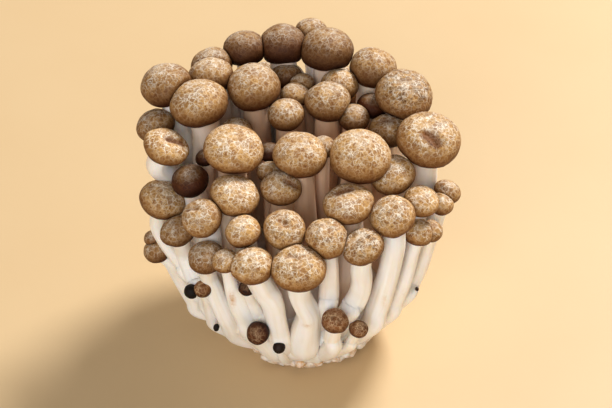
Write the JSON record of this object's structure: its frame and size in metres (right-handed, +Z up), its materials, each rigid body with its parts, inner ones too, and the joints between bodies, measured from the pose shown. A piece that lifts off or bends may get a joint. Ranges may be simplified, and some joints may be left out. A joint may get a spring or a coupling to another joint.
{
  "type": "beech mushroom cluster",
  "caption": "Standing cluster of beech mushrooms: white stems grown together on a flat-cut foot, each ending in a round brown cap with a cracked net pattern.",
  "frame": {"origin": "centre of the bounding box at the bottom, on the flat cut of the foot", "axes": "+Z up along the stems, -Y towards the front, which is the lower side of the crown of caps"},
  "size_m": [0.1068, 0.1057, 0.0985],
  "materials": {
    "stem_flesh": "satin off-white flesh with fine lengthwise fibres and a few ochre stains",
    "cap_skin": "dry satin skin, tan brown in small cells with a pale cracked net",
    "bud_skin": "dark brown, dry, with a faint pale net"
  },
  "bodies": {
    "root": {"bud_1": "bud_skin", "bud_2": "bud_skin", "bud_3": "bud_skin", "bud_4": "bud_skin", "bud_5": "bud_skin", "bud_6": "bud_skin", "bud_7": "bud_skin", "cap_back_1": "cap_skin", "cap_back_2": "cap_skin", "cap_back_3": "cap_skin", "cap_back_4": "cap_skin", "cap_back_5": "cap_skin", "cap_back_6": "cap_skin", "cap_front_1": "cap_skin", "cap_front_2": "cap_skin", "cap_front_3": "cap_skin", "cap_front_4": "cap_skin", "cap_front_5": "cap_skin", "cap_front_6": "cap_skin", "cap_front_7": "cap_skin", "cap_left_1": "cap_skin", "cap_left_10": "cap_skin", "cap_left_2": "cap_skin", "cap_left_3": "cap_skin", "cap_left_4": "cap_skin", "cap_left_5": "cap_skin", "cap_left_6": "cap_skin", "cap_left_7": "cap_skin", "cap_left_8": "cap_skin", "cap_left_9": "cap_skin", "cap_middle_1": "cap_skin", "cap_middle_10": "cap_skin", "cap_middle_11": "cap_skin", "cap_middle_12": "cap_skin", "cap_middle_13": "cap_skin", "cap_middle_14": "cap_skin", "cap_middle_15": "cap_skin", "cap_middle_2": "cap_skin", "cap_middle_3": "cap_skin", "cap_middle_4": "cap_skin", "cap_middle_5": "cap_skin", "cap_middle_6": "cap_skin", "cap_middle_7": "cap_skin", "cap_middle_8": "cap_skin", "cap_middle_9": "cap_skin", "cap_right_1": "cap_skin", "cap_right_2": "cap_skin", "cap_right_3": "cap_skin", "cap_right_4": "cap_skin", "cap_right_5": "cap_skin", "cap_right_6": "cap_skin", "cap_right_7": "cap_skin", "rear_1": "cap_skin", "rear_2": "cap_skin", "rear_3": "cap_skin", "rear_4": "cap_skin", "rear_5": "cap_skin", "rear_6": "cap_skin", "rear_7": "cap_skin", "stem_cluster": "stem_flesh"}
  },
  "joints": []
}
